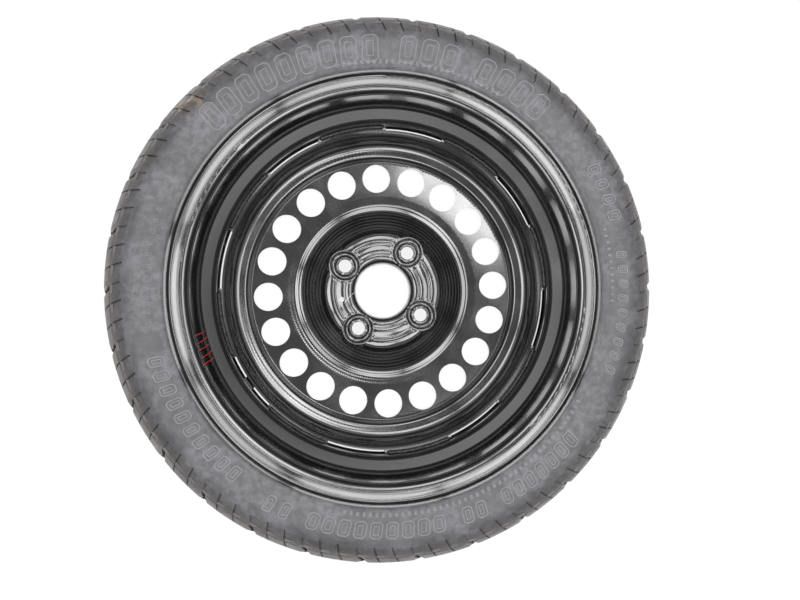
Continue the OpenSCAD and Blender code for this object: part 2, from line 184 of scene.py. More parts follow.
def settled(obj, tree, values):
    """Runs a node tree on obj and leaves its result as a plain mesh object"""
    modifier = obj.modifiers.new(tree.name, "NODES")
    modifier.node_group = tree
    for item in tree.interface.items_tree:
        if item.item_type == "SOCKET" and item.in_out == "INPUT" and item.name in values:
            modifier[item.identifier] = values[item.name]
    bpy.context.view_layer.update()
    evaluated = obj.evaluated_get(bpy.context.evaluated_depsgraph_get())
    mesh = bpy.data.meshes.new_from_object(evaluated)
    name = obj.name
    bpy.data.objects.remove(obj)
    mesh.name = name
    return plain_object(name, mesh)


def rounded_line(points, step, closed=False):
    """Points of a line whose corners are true arcs; each point is [x, y, corner radius]"""
    out = []
    n = len(points)
    for i in range(n):
        x, y, radius = points[i]
        if radius <= 0 or (not closed and i in (0, n - 1)):
            out.append((x, y))
            continue
        here = np.array([x, y], float)
        back = np.array(points[i - 1][:2], float) - here
        on = np.array(points[(i + 1) % n][:2], float) - here
        back /= np.linalg.norm(back)
        on /= np.linalg.norm(on)
        turn = math.pi - math.acos(max(-1, min(1, float(back @ on))))
        run = radius * math.tan(turn / 2)
        mid = back + on
        centre = here + radius / math.cos(turn / 2) * mid / np.linalg.norm(mid)
        first = here + run * back - centre
        last = here + run * on - centre
        a0 = math.atan2(first[1], first[0])
        a1 = math.atan2(last[1], last[0])
        sweep = (a1 - a0 + math.pi) % (2 * math.pi) - math.pi
        count = max(2, math.ceil(abs(sweep) / math.radians(step)))
        for k in range(count + 1):
            a = a0 + sweep * k / count
            out.append((centre[0] + radius * math.cos(a), centre[1] + radius * math.sin(a)))
    return out


def spaced(line, gap):
    """Adds points to a line so that no two lie more than gap apart"""
    out = [line[0]]
    for p, q in zip(line, line[1:]):
        length = math.hypot(q[0] - p[0], q[1] - p[1])
        if length < 1e-6:
            continue
        count = max(1, math.ceil(length / gap))
        shares = [k / count for k in range(1, count + 1)]
        out += [(p[0] + (q[0] - p[0]) * t, p[1] + (q[1] - p[1]) * t) for t in shares]
    return out


# Tyre section in millimetres, [radius, distance from the middle of the tread, corner radius]
OUTSIDE = [
    [276.0, 0, 0], [276.0, 13.5, 83], [267.6, 38.5, 71], [250.0, 61.2, 33], [231.0, 62.5, 34],
    [212.0, 60.5, 14], [207.85, 58.0, 0.3], [207.85, 57.6, 0]]
BEAD = [
    [200.8, 50.55, 0.5], [194.35, 50.55, 1], [190.0, 46.55, 1], [189.2, 37.6, 0.8], [193.0, 37.6, 1.5]]
LINER = [
    [193.0, 37.6, 0], [198.1, 40.05, 10], [209.0, 48.6, 20], [225.0, 55.6, 20], [239.0, 54.8, 20],
    [256.0, 37.0, 30], [263.0, 13.5, 60], [263.0, 0, 0]]
# Middle and radius of the bend with which the bead follows the rim's lip
LIP_MIDDLE, LIP_BEND = (200.8, 57.6), 7.05
# The grooves: distances of their middles and edges from the middle of the tread
GROOVE_MIDDLES = (-18.0, 0.0, 18.0)
GROOVE_EDGES = (3.0, 15.0, 21.0)
GROOVE_WIDTH, GROOVE_DEPTH, GROOVE_LEAN = 6.0, 5.0, 0.4
CROWN_EDGE, CROWN_ROWS = 22.0, 12
# Places along the outside, in millimetres from the middle of the tread
SHOULDER_LINE = [54.6, 55.1, 56.9, 57.4]
CUT_RUN, LINE_RUN, SIPE_RUN, LEG_RUN = (20.5, 57.0), (55.0, 57.0), (24.0, 57.0), (58.0, 72.0)
TRIANGLE_RUN, TRIANGLE_SLOPE = (59.5, 70.5), 8.0
FINE_RUN = 79.0
LINE_DEPTH = 1.5
# Cuts: radius at which their width is measured, lean, and where along the outside the lean turns over
CUT_RADIUS, CUT_LEAN, LEAN_RUN = 262.0, math.tan(math.radians(14)), 50.0
# Between the inner grooves' edges the two halves of the pattern change over
CHANGE_HALF, LINER_HALF = 14.0, 37.0
# Degrees from a cut's floor to its edge, and across a triangle
EDGE, HOOK = 0.05, 1.9
# Sidewall ribs: radius, height, width
RIBS = [(209.9, 0.45, 0.5), (213.2, 0.35, 0.45), (245.2, 0.5, 0.5)]


def half_outside():
    """Outside of one half: from the middle of the tread to the lip, and on to the bead's toe"""
    turns = [math.radians(a) for a in range(0, -91, -15)]
    x, y = LIP_MIDDLE
    lip = [(x + LIP_BEND * math.cos(a), y + LIP_BEND * math.sin(a)) for a in turns]
    return rounded_line(OUTSIDE, 5), lip + rounded_line(BEAD, 30)[1:]


def sidewall_height(radius):
    """Height of the sidewall above the middle of the tread at radii in millimetres"""
    wall = [p for p in half_outside()[0] if p[1] > 30][::-1]
    return np.interp(radius, *zip(*wall))


def tread_rows():
    """Rows of one half, [radius, distance from the middle, run along the outside], and its bead"""
    upper, bead = half_outside()
    half = []
    for p, q in zip(upper, upper[1:]):
        on_shoulder = p[0] > 241 and p[1] > 21
        half += spaced([p, q], 2.4 if on_shoulder else 6.0)[:-1]
    half.append(upper[-1])
    runs = [0.0]
    for p, q in zip(half, half[1:]):
        runs.append(runs[-1] + math.hypot(q[0] - p[0], q[1] - p[1]))
    radii, offs = zip(*half)
    rows = [[float(np.interp(w, offs[:CROWN_ROWS], radii[:CROWN_ROWS])), w, w] for w in GROOVE_EDGES]
    rows += [[float(np.interp(q, runs, side)) for side in (radii, offs)] + [q] for q in SHOULDER_LINE]
    for r, w, q in zip(radii, offs, runs):
        by_groove = w <= CROWN_EDGE and any(abs(w - e) <= 0.6 for e in GROOVE_EDGES)
        by_line = any(abs(q - e) <= 0.7 for e in SHOULDER_LINE)
        if not by_groove and not by_line:
            rows.append([r, w, q])
    return sorted(rows, key=lambda row: row[2]), bead


def section():
    """The closed section, from the inboard toe over the tread to the other toe and back inside"""
    rows, bead = tread_rows()
    half = rows + [[r, w, None] for r, w in bead]
    other = [[r, -w, None if q is None else -q] for r, w, q in half[1:]]
    liner = rounded_line(LINER, 14)[1:]
    inside = [[r, -w, None] for r, w in liner] + [[r, w, None] for r, w in liner[-2::-1]]
    return half[::-1] + other + inside


def with_grooves(rows):
    """Lets rows of the crown down into the grooves; each wall is a doubled row"""
    walked = []
    for r, w, q in rows:
        row = [r, w, q]
        if q is not None and abs(w) < CROWN_EDGE:
            mid = min(GROOVE_MIDDLES, key=lambda m: abs(w - m))
            past_edge = abs(w - mid) - GROOVE_WIDTH / 2
            if abs(past_edge) < 0.05:
                entering = w > mid
                foot = [r - GROOVE_DEPTH, w - GROOVE_LEAN if entering else w + GROOVE_LEAN, None]
                walked += [row, foot] if entering else [foot, row]
                continue
            if past_edge < -0.01:
                row = [r - GROOVE_DEPTH, w, None]
        walked.append(row)
    return walked


def shear_of(r, w, q, half_pitch):
    """Turn of a row against the wedge's middle, in degrees"""
    if q is None:
        if abs(w) < LINER_HALF and 250 < r < 265:
            return half_pitch * (1 - (w + LINER_HALF) / (2 * LINER_HALF))
        return 0.0 if w > 0 else half_pitch
    reach = min(max(abs(q), CHANGE_HALF), 80.0)
    slope = math.degrees(CUT_LEAN * (LEAN_RUN - reach) / CUT_RADIUS)
    across = min(max(w / CHANGE_HALF, -1.0), 1.0)
    return slope * across + half_pitch * (1 - across) / 2


def make_wedge(s):
    """One pitch of the tyre, with a cross cut, hooked sipes and ribs on the sidewalls"""
    rows = with_grooves(section())
    n = len(rows)
    pos = np.array([[r, w] for r, w, _ in rows], float)
    tangent = np.roll(pos, -1, 0) - np.roll(pos, 1, 0)
    tangent /= np.maximum(np.linalg.norm(tangent, axis=1), 1e-9)[:, None]
    normal = np.stack([-tangent[:, 1], tangent[:, 0]], 1)
    if normal[np.argmax(pos[:, 0])][0] < 0:
        normal = -normal
    half_pitch = 180.0 / s.pitches
    third = half_pitch * 2 / 3
    wide, thin = (math.degrees(w / MM / CUT_RADIUS) / 2 for w in (s.cut_width, s.sipe_width))
    cut, sipe = s.cut_depth / MM, s.sipe_depth / MM
    coarse = [-half_pitch + half_pitch * 2 * k / 5 for k in range(6)]
    columns = coarse + [-wide - EDGE, -wide, -EDGE, 0.0, wide, wide + EDGE, HOOK, HOOK + EDGE]
    for c in (-third, third):
        columns += [c - thin - EDGE, c - thin, c, c + thin, c + thin + EDGE, c + HOOK, c + HOOK + EDGE]
    columns = sorted(a for a in set(columns) if abs(a) <= half_pitch)
    columns = [a for k, a in enumerate(columns) if k == 0 or a - columns[k - 1] > 1e-3]
    hair = 1e-6

    def drop_at(a, q):
        """Depth of the cuts at an angle in degrees and a run along the outside"""
        drop = 0.0
        if CUT_RUN[0] <= q <= CUT_RUN[1]:
            if abs(a) <= wide + hair:
                drop = cut
            elif abs(a) <= wide + EDGE + hair:
                drop = 0.38 * cut
        if LINE_RUN[0] <= q <= LINE_RUN[1]:
            drop = max(drop, LINE_DEPTH)
        for c in (-third, 0.0, third):
            share = (a - c) / HOOK
            highest = TRIANGLE_RUN[1] - TRIANGLE_SLOPE * share
            if -hair <= share <= 1 + hair and TRIANGLE_RUN[0] <= q <= highest:
                drop = max(drop, 0.55 * sipe)
        if min(abs(a + third), abs(a - third)) <= thin + hair:
            if SIPE_RUN[0] <= q <= SIPE_RUN[1]:
                drop = max(drop, 0.7 * sipe)
            if LEG_RUN[0] <= q <= LEG_RUN[1]:
                drop = max(drop, sipe)
        return drop

    fine_rows = [k for k in range(n) if rows[k][2] is not None and abs(rows[k][2]) <= FINE_RUN]
    columns_of = [columns if fine_rows[0] <= k <= fine_rows[-1] else coarse for k in range(n)]
    verts, at = [], {}
    for k, (r, w, q) in enumerate(rows):
        for a in columns_of[k]:
            drop = 0.0 if q is None else drop_at(a, abs(q))
            if q is not None and abs(w) > 50:
                for mid, high, width in RIBS:
                    drop -= high * max(0.0, 1 - abs(r - mid) / (width + 0.4))
            pr, pw = pos[k] - normal[k] * drop
            angle = math.radians(a + shear_of(r, w, q, half_pitch))
            at[k, round(a, 3)] = len(verts)
            verts.append((pr * math.cos(angle) * MM, pr * math.sin(angle) * MM, (pw + INSET) * MM))
    faces = []
    for k in range(n):
        k2 = (k + 1) % n
        for first, last in zip(coarse, coarse[1:]):
            here, there = (
                [at[i, round(a, 3)] for a in columns_of[i] if first - hair <= a <= last + hair]
                for i in (k, k2))
            if len(here) == len(there):
                for m in range(len(here) - 1):
                    faces.append((here[m], there[m], there[m + 1], here[m + 1]))
            else:
                faces.append(tuple(here + there[::-1])[::-1])
    return verts, faces


# Middle line of the disc's sheet in millimetres, [radius, height, bend radius]
DISC_LINE = [
    [31.65, -14.0, 0], [31.65, -1.6, 7], [63.5, -1.6, 4.5], [96.5, -19.0, 12], [146.5, -14.6, 3.2],
    [151.5, -8.4, 3.2], [168.3, -5.2, 14], [168.3, 42.0, 0]]
DISC_SHEET = 3.2
# Where the collar's bend ends along that line, and the radius at which the wall starts
COLLAR_RUN, WALL_RADIUS = 5.35, 168.3
# The flat layout is shifted out by this, so that the collar keeps its room
LAYOUT_SHIFT = 22.25
# Holes as (radius, degrees) of their middles
FIRST_HOLE = 57.1
STUDS = [(50.0, FIRST_HOLE + 90.0 * k) for k in range(4)]
VENTS = [(127.8, FIRST_HOLE + 18.0 * k) for k in range(20)]
INDEX_HOLE = (47.0, FIRST_HOLE + 135.0)
STUD_RADIUS, VENT_RADIUS, INDEX_RADIUS = 7.25, 15.7, 3.0
# Rings of mesh points about a stud hole, and the room that the grid leaves them
STUD_RINGS = (
    7.6, 8.2, 9.0, 9.7, 10.2, 10.7, 11.2, 12.4, 13.8, 14.9, 15.4, 15.9, 16.3, 16.8, 17.4, 18.2, 19.2)
STUD_ROOM = 19.7
# Slots at the edge: middles and span in degrees, radius of the floor, depth of the notch
SLOTS = [FIRST_HOLE + (k + 0.5) * 45.0 for k in range(8)]
SLOT_SPAN, SLOT_FLOOR, SLOT_NOTCH = 20.5, 167.8, 6.0
# Height pressed into the disc at a radius, in millimetres
HUB_RELIEF = [
    [38.6, 0.0], [40.2, -0.2], [41.2, -0.95], [42.2, -0.7], [43.2, -0.1], [45.0, 0.0],
    [47.0, -0.25], [49.0, -0.7], [51.2, -1.35], [52.6, -1.75], [53.6, -0.9], [54.6, -0.3],
    [56.0, -0.05], [57.5, 0.0], [59.5, -0.3], [61.5, -0.85], [63.5, -1.6], [66.0, -2.5],
    [68.0, -2.9], [90.0, -2.2], [93.6, -1.0], [94.6, -0.1], [95.6, -0.5], [100.6, -0.5],
    [101.6, 0.1], [102.8, -0.4], [105.0, 0.0]]


def ring_of(radius, turn):
    """Points at a radius for an array of angles"""
    return np.stack([radius * np.cos(turn), radius * np.sin(turn)], 1)


def middle_of(centre):
    """Middle of a hole whose centre is given as (radius, degrees)"""
    turn = math.radians(centre[1])
    return np.array([centre[0] * math.cos(turn), centre[0] * math.sin(turn)])


def on_circle(centre, radius, count, shift=0.0):
    """Points round a hole"""
    return middle_of(centre) + ring_of(radius, (np.arange(count) + shift) * 2 * math.pi / count)


def far_from(points, centre):
    """Distance of each point from a hole's middle"""
    return np.hypot(*(points - middle_of(centre)).T)


class DiscSheet:
    """The disc's sheet: its middle line, its flat layout, and the relief pressed into it"""

    def __init__(self, s):
        self.s = s
        line = np.array(spaced(rounded_line(DISC_LINE, 7), 3.0))
        along = np.concatenate([[0], np.cumsum(np.hypot(*np.diff(line, axis=0).T))])
        tangent = np.gradient(line, along, axis=0)
        tangent /= np.linalg.norm(tangent, axis=1)[:, None]
        self.line, self.along = line, along
        self.normal = np.stack([-tangent[:, 1], tangent[:, 0]], 1)
        self.first = np.searchsorted(along, COLLAR_RUN)
        self.last = np.argmax(line[:, 0] > WALL_RADIUS - 0.0001)

    def layout(self, xy):
        """Plan points to the flat layout"""
        r = np.hypot(xy[:, 0], xy[:, 1])
        level = slice(self.first, self.last + 1)
        rho = np.interp(r, self.line[level, 0], self.along[level]) + LAYOUT_SHIFT
        return xy * (rho / np.maximum(r, 1e-9))[:, None]

    def plan(self, flat):
        """Layout points to plan points, and their distance from the middle of the layout"""
        rho = np.hypot(flat[:, 0], flat[:, 1])
        r = np.interp(rho - LAYOUT_SHIFT, self.along, self.line[:, 0])
        return flat * (r / rho)[:, None], rho

    def place(self, flat, side):
        """Layout points to points of one face of the sheet; side is 1 inboard and -1 outboard"""
        turn = np.arctan2(flat[:, 1], flat[:, 0])
        t = np.hypot(flat[:, 0], flat[:, 1]) - LAYOUT_SHIFT
        r0, z0 = (np.interp(t, self.along, self.line[:, k]) for k in (0, 1))
        n0, n1 = (np.interp(t, self.along, self.normal[:, k]) for k in (0, 1))
        size = np.hypot(n0, n1)
        r = r0 + side * n0 / size * DISC_SHEET / 2
        z = z0 + side * n1 / size * DISC_SHEET / 2
        for slot in SLOTS:
            off = np.abs((turn - math.radians(slot) + math.pi) % (2 * math.pi) - math.pi)
            in_slot = (off < math.radians(SLOT_SPAN / 2)) & (z > -8.0)
            if side < 0:
                r = np.where(in_slot, np.minimum(r, SLOT_FLOOR), r)
            z = np.where(in_slot & (z > 10), z - SLOT_NOTCH * (z - 10) / 32, z)
        z = z + self.relief(r0 * np.cos(turn), r0 * np.sin(turn), z0 + DISC_SHEET / 2)
        return np.stack([r * np.cos(turn), r * np.sin(turn), z], 1)

    def relief(self, x, y, top):
        """Height added to the sheet at a plan point, for ridges and stud recesses"""
        r = np.hypot(x, y)
        lift = sum(np.interp(r + d, *zip(*HUB_RELIEF)) for d in (-0.5, 0.0, 0.5)) / 3
        lift = np.where(lift < 0, lift * self.s.ridge_depth / MM, lift)
        deep = -self.s.recess_depth / MM
        edge = self.s.recess_radius / MM
        for centre in STUDS:
            a = far_from(np.stack([x, y], 1), centre)
            ring = np.interp(
                a, [7.25, 7.9, 9.6, 12.6, 13.4, edge - 0.2, edge + 0.5, edge + 1.3],
                [-0.5, 0, 0, deep, deep, -0.3, -0.1, -0.4])
            want = ring - top
            want = np.where(r > 50, want, np.minimum(want, lift))
            share = np.interp(a, [edge + 1.2, edge + 3.4], [1.0, 0.0])
            lift = lift + (want - lift) * share
        return lift


def disc_holes(roll):
    """Edges of the holes, and the rings of mesh points about them"""
    holes, rings = [], []
    for centre in STUDS:
        holes.append((on_circle(centre, STUD_RADIUS, 60), centre, STUD_RADIUS))
        for k, radius in enumerate(STUD_RINGS):
            rings.append((on_circle(centre, radius, 72, 0.5 * (k % 2)), centre))
    for centre in VENTS:
        holes.append((on_circle(centre, VENT_RADIUS, 64), centre, VENT_RADIUS))
        for out, shift in ((0.0, 0.5), (0.9, 0.0)):
            rings.append((on_circle(centre, VENT_RADIUS + roll + out, 64, shift), centre))
    holes.append((on_circle(INDEX_HOLE, INDEX_RADIUS, 28), INDEX_HOLE, INDEX_RADIUS))
    rings.append((on_circle(INDEX_HOLE, INDEX_RADIUS + roll, 28, 0.5), INDEX_HOLE))
    return holes, rings


def disc_grid(sheet, low, high, roll):
    """Mesh points on circles about the axis, in the layout, clear of every hole"""
    hub_end, trough_end, band_start = np.interp([70.0, 91.0, 106.0], sheet.line[:, 0], sheet.along)
    rows = [t for t in sheet.along if low + 0.4 < t < high - 0.4]
    rows = [t for t in rows if hub_end < t < trough_end or t > band_start]
    rows = sorted([*np.arange(low + 1.0, hub_end, 1.0), *rows, *np.arange(trough_end, band_start, 1.0)])
    grid = []
    for k, t in enumerate(rows):
        count = 300 if t < 52 else 240
        grid.append(ring_of(t + LAYOUT_SHIFT, (np.arange(count) + 0.5 * (k % 2)) * 2 * math.pi / count))
    grid = np.concatenate(grid)
    plan, _ = sheet.plan(grid)
    keep = far_from(plan, INDEX_HOLE) > INDEX_RADIUS + roll + 0.6
    for centre in STUDS:
        keep &= far_from(plan, centre) > STUD_ROOM
    for centre in VENTS:
        keep &= far_from(plan, centre) > VENT_RADIUS + roll + 1.6
    return grid[keep]


def border_turns():
    """Angles of the points on the disc's two borders, with doubled ones at the slots' ends"""
    turns = {round(1.5 * k, 4) for k in range(240)}
    for slot in SLOTS:
        for side in (-1, 1):
            turns |= {round((slot + side * (SLOT_SPAN / 2 + d)) % 360, 4) for d in (-0.04, 0.04)}
    turns = sorted(turns)
    return np.radians([a for k, a in enumerate(turns) if k == 0 or a - turns[k - 1] > 0.05])


def make_disc(s):
    """Both faces of the pressed disc, joined at its edges and round every hole"""
    sheet = DiscSheet(s)
    roll = s.edge_roll / MM
    holes, rings = disc_holes(roll)
    low, high = sheet.along[sheet.first], sheet.along[sheet.last]
    turn = border_turns()
    borders = [ring_of(t + LAYOUT_SHIFT, turn) for t in (low, high)]
    points, edges, loops = [], [], []
    for loop in borders + [sheet.layout(edge) for edge, _, _ in holes]:
        first = sum(len(p) for p in points)
        points.append(loop)
        loops.append(list(range(first, first + len(loop))))
        edges += [(first + k, first + (k + 1) % len(loop)) for k in range(len(loop))]
    for ring, centre in rings:
        clear = np.hypot(ring[:, 0], ring[:, 1]) > 32.2
        if centre in STUDS:
            clear &= far_from(ring, INDEX_HOLE) > INDEX_RADIUS + roll + 0.5
        if centre == INDEX_HOLE:
            for stud in STUDS:
                clear &= far_from(ring, stud) > 19.3
        points.append(sheet.layout(ring[clear]))
    points.append(disc_grid(sheet, low, high, roll))
    flat = np.concatenate(points)
    verts, _, tris, _, _, _ = geometry.delaunay_2d_cdt([Vector(p) for p in flat], edges, [], 0, 1e-5)
    if len(verts) != len(flat):
        raise RuntimeError("the disc's layout has points that fall together")
    flat = np.array([tuple(v) for v in verts])
    tris = np.array(tris)
    plan, rho = sheet.plan(flat[tris].mean(1))
    solid = (rho > low + LAYOUT_SHIFT) & (rho < high + LAYOUT_SHIFT)
    for _, centre, radius in holes:
        solid &= far_from(plan, centre) > radius
    off_border = np.abs(np.hypot(flat[tris][:, :, 0], flat[tris][:, :, 1]) - low - LAYOUT_SHIFT)
    tris = tris[solid & (off_border.max(1) >= 0.05)]
    area = np.cross(flat[tris[:, 1]] - flat[tris[:, 0]], flat[tris[:, 2]] - flat[tris[:, 0]])
    tris[area < 0] = tris[area < 0][:, ::-1]
    # the collar and the wall carry on from the two border rings
    strips, ends = [], []
    for last, ts in ((loops[0], [t for t in sheet.along[::-1] if t < low - 0.2]),
                     (loops[1], [t for t in sheet.along if t > high + 0.2])):
        for t in ts:
            now = list(range(len(flat), len(flat) + len(turn)))
            flat = np.concatenate([flat, ring_of(t + LAYOUT_SHIFT, turn)])
            strips.append((last, now))
            last = now
        ends.append(last)
    n = len(flat)
    faces = [tuple(t) for t in tris] + [tuple(n + i for i in t[::-1]) for t in tris]
    for a, b in strips:
        for k in range(len(a)):
            k2 = (k + 1) % len(a)
            quad = (a[k], a[k2], b[k2], b[k])
            faces += [quad, tuple(n + i for i in quad[::-1])]
    for loop in loops[2:] + ends:
        for k in range(len(loop)):
            k2 = (k + 1) % len(loop)
            faces.append((loop[k], loop[k2], n + loop[k2], n + loop[k]))
    return np.concatenate([sheet.place(flat, 1), sheet.place(flat, -1)]) * MM, faces


# Nodes

def feed(tree, socket, value):
    """Links a node or a socket into a socket, or sets the socket to a plain value"""
    if isinstance(value, bpy.types.Node):
        value = value.outputs[0]
    if isinstance(value, bpy.types.NodeSocket):
        tree.links.new(value, socket)
    else:
        socket.default_value = value


def put(tree, kind, inputs=None, **options):
    """Adds a node with its options, and feeds its inputs"""
    node = tree.nodes.new(kind)
    for key, value in options.items():
        setattr(node, key, value)
    for key, value in (inputs or {}).items():
        feed(tree, node.inputs[key], value)
    return node


def math_node(tree, operation, *values):
    """The result of a maths node"""
    return put(tree, "ShaderNodeMath", dict(enumerate(values)), operation=operation).outputs[0]


def times(tree, a, b):
    return math_node(tree, "MULTIPLY", a, b)


def new_tree(name, **defaults):
    """A tree that takes geometry, numbers (Start for start, Bead Radius for bead_radius) and a material"""
    tree = bpy.data.node_groups.new(name, "GeometryNodeTree")
    add = tree.interface.new_socket
    add("Geometry", in_out="INPUT", socket_type="NodeSocketGeometry")
    for key, default in defaults.items():
        kind = "NodeSocketInt" if isinstance(default, int) else "NodeSocketFloat"
        add(key.replace("_", " ").title(), in_out="INPUT", socket_type=kind).default_value = default
    add("Material", in_out="INPUT", socket_type="NodeSocketMaterial")
    add("Geometry", in_out="OUTPUT", socket_type="NodeSocketGeometry")
    return tree, tree.nodes.new("NodeGroupInput").outputs


def closed_tree(tree, given, geometry_node):
    """Gives the geometry its material and sends it out"""
    painted = put(tree, "GeometryNodeSetMaterial", {
        "Geometry": geometry_node, "Material": given["Material"]})
    tree.links.new(painted.outputs[0], tree.nodes.new("NodeGroupOutput").inputs[0])
    return tree


def repeat_round_tree():
    """Repeats a wedge round the Z axis and joins the copies"""
    tree, given = new_tree("repeat_round", count=30, merge_distance=0.00002)
    points = put(tree, "GeometryNodePoints", {"Count": given["Count"]})
    turn = times(tree, put(tree, "GeometryNodeInputIndex"), 2 * math.pi)
    turn = math_node(tree, "DIVIDE", turn, given["Count"])
    copies = put(tree, "GeometryNodeInstanceOnPoints", {
        "Points": points, "Instance": given["Geometry"],
        "Rotation": put(tree, "ShaderNodeCombineXYZ", {"Z": turn})})
    real = put(tree, "GeometryNodeRealizeInstances", {"Geometry": copies})
    merged = put(tree, "GeometryNodeMergeByDistance", {
        "Geometry": real, "Distance": given["Merge Distance"]})
    return closed_tree(tree, given, merged)


def mark_band_tree():
    """A band of outlined blocks along an arc, flat on the XY plane"""
    tree, given = new_tree(
        "mark_band", radius=0.23, start=0.0, sweep=1.0, count=12, block_width=0.012,
        block_height=0.018, slant=0.002, line=0.0004, corner=0.002)
    block = put(tree, "GeometryNodeCurvePrimitiveQuadrilateral", {
        "Width": given["Block Width"], "Height": given["Block Height"], "Offset": given["Slant"]},
        mode="PARALLELOGRAM")
    soft = put(tree, "GeometryNodeFilletCurve", {
        "Curve": block, "Radius": given["Corner"], "Limit Radius": True}, mode="POLY")
    width, height, slant = (
        times(tree, given[key], share) for key, share in
        (("Block Width", 0.42), ("Block Height", 0.56), ("Slant", 0.56)))
    inner = put(tree, "GeometryNodeCurvePrimitiveQuadrilateral", {
        "Width": width, "Height": height, "Offset": slant}, mode="PARALLELOGRAM")
    both = tree.nodes.new("GeometryNodeJoinGeometry")
    tree.links.new(soft.outputs[0], both.inputs[0])
    tree.links.new(inner.outputs[0], both.inputs[0])
    wire = put(tree, "GeometryNodeCurvePrimitiveCircle", {"Resolution": 6, "Radius": given["Line"]})
    outline = put(tree, "GeometryNodeCurveToMesh", {"Curve": both, "Profile Curve": wire})
    points = put(tree, "GeometryNodePoints", {"Count": given["Count"]})
    step = math_node(tree, "ADD", put(tree, "GeometryNodeInputIndex"), 0.5)
    share = math_node(tree, "DIVIDE", step, given["Count"])
    angle = math_node(tree, "MULTIPLY_ADD", share, given["Sweep"], given["Start"])
    x, y = (times(tree, math_node(tree, part, angle), given["Radius"]) for part in ("COSINE", "SINE"))
    place = put(tree, "ShaderNodeCombineXYZ", {"X": x, "Y": y})
    moved = put(tree, "GeometryNodeSetPosition", {"Geometry": points, "Position": place})
    spin = put(tree, "ShaderNodeCombineXYZ", {"Z": math_node(tree, "ADD", angle, -math.pi / 2)})
    copies = put(tree, "GeometryNodeInstanceOnPoints", {
        "Points": moved, "Instance": outline, "Rotation": spin})
    real = put(tree, "GeometryNodeRealizeInstances", {"Geometry": copies})
    return closed_tree(tree, given, real)


def weld_run_tree():
    """A rippled weld bead along an arc round the Z axis"""
    tree, given = new_tree(
        "weld_run", radius=0.168, height=0.043, start=0.0, sweep=0.4, bead_radius=0.002,
        ripples=30, unevenness=0.0005, seed=1)
    arc = put(tree, "GeometryNodeCurveArc", {
        "Resolution": 240, "Radius": given["Radius"], "Start Angle": given["Start"],
        "Sweep Angle": given["Sweep"]}, mode="RADIUS")
    raised = put(tree, "ShaderNodeCombineXYZ", {"Z": given["Height"]})
    lifted = put(tree, "GeometryNodeSetPosition", {"Geometry": arc, "Offset": raised})
    along = put(tree, "GeometryNodeSplineParameter").outputs["Factor"]
    wave = times(tree, times(tree, along, given["Ripples"]), 2 * math.pi)
    ripple = math_node(tree, "MULTIPLY_ADD", math_node(tree, "SINE", wave), 0.09, 0.93)
    from_end = math_node(tree, "MINIMUM", along, math_node(tree, "SUBTRACT", 1.0, along))
    taper = math_node(tree, "MINIMUM", math_node(tree, "MULTIPLY_ADD", from_end, 26.0, 0.05), 1.0)
    size = times(
        tree, times(tree, ripple, math_node(tree, "POWER", taper, 0.5)), given["Bead Radius"])
    sized = put(tree, "GeometryNodeSetCurveRadius", {"Curve": lifted, "Radius": size})
    ring = put(tree, "GeometryNodeCurvePrimitiveCircle", {"Resolution": 18, "Radius": 1.0})
    bead = put(tree, "GeometryNodeCurveToMesh", {
        "Curve": sized, "Profile Curve": ring, "Fill Caps": True})
    if "Scale" in bead.inputs:
        tree.links.new(size, bead.inputs["Scale"])
    noise = put(tree, "ShaderNodeTexNoise", {
        "Scale": 480.0, "Detail": 2.0, "W": given["Seed"]}, noise_dimensions="4D")
    centred = put(tree, "ShaderNodeVectorMath", {
        0: noise.outputs["Color"], 1: (0.5, 0.5, 0.5)}, operation="SUBTRACT")
    scaled = put(tree, "ShaderNodeVectorMath", {
        0: centred, "Scale": given["Unevenness"]}, operation="SCALE")
    rough = put(tree, "GeometryNodeSetPosition", {"Geometry": bead, "Offset": scaled})
    return closed_tree(tree, given, put(tree, "GeometryNodeSetShadeSmooth", {"Geometry": rough}))


def pen_tree():
    """Sweeps a small round bead of paint along a stroke"""
    tree, given = new_tree("pen_stroke", radius=0.0005)
    curve = put(tree, "GeometryNodeMeshToCurve", {"Mesh": given["Geometry"]})
    ring = put(tree, "GeometryNodeCurvePrimitiveCircle", {
        "Resolution": 8, "Radius": given["Radius"]})
    bead = put(tree, "GeometryNodeCurveToMesh", {
        "Curve": curve, "Profile Curve": ring, "Fill Caps": True})
    return closed_tree(tree, given, bead)


# Materials

def base_material(name, roughness):
    mat = bpy.data.materials.new(name)
    mat.use_nodes = True
    tree = mat.node_tree
    shader = tree.nodes["Principled BSDF"]
    shader.inputs["Roughness"].default_value = roughness
    coords = tree.nodes.new("ShaderNodeTexCoord").outputs["Object"]
    return mat, tree, shader, coords


def noise_of(tree, coords, scale, detail=3.0, rough=0.5):
    return put(tree, "ShaderNodeTexNoise", {
        "Vector": coords, "Scale": scale, "Detail": detail, "Roughness": rough}).outputs[0]


def span_of(tree, value, low, high, to_low, to_high):
    """Maps low..high smoothly to to_low..to_high"""
    return put(tree, "ShaderNodeMapRange", {
        "Value": value, "From Min": low, "From Max": high, "To Min": to_low, "To Max": to_high},
        interpolation_type="SMOOTHSTEP").outputs[0]


def mixed(tree, share, a, b):
    """Mixes two colours, each a socket or three numbers"""
    node = put(tree, "ShaderNodeMix", data_type="RGBA")
    feed(tree, node.inputs["Factor"], share)
    for socket, value in ((node.inputs[6], a), (node.inputs[7], b)):
        feed(tree, socket, value if isinstance(value, bpy.types.NodeSocket) else (*value, 1.0))
    return node.outputs[2]


def polar(tree, coords):
    """Radius and angle about the wheel's axis, and the height"""
    x, y, z = put(tree, "ShaderNodeSeparateXYZ", {0: coords}).outputs[:3]
    square = math_node(tree, "MULTIPLY_ADD", x, x, times(tree, y, y))
    return math_node(tree, "SQRT", square), math_node(tree, "ARCTAN2", y, x), z


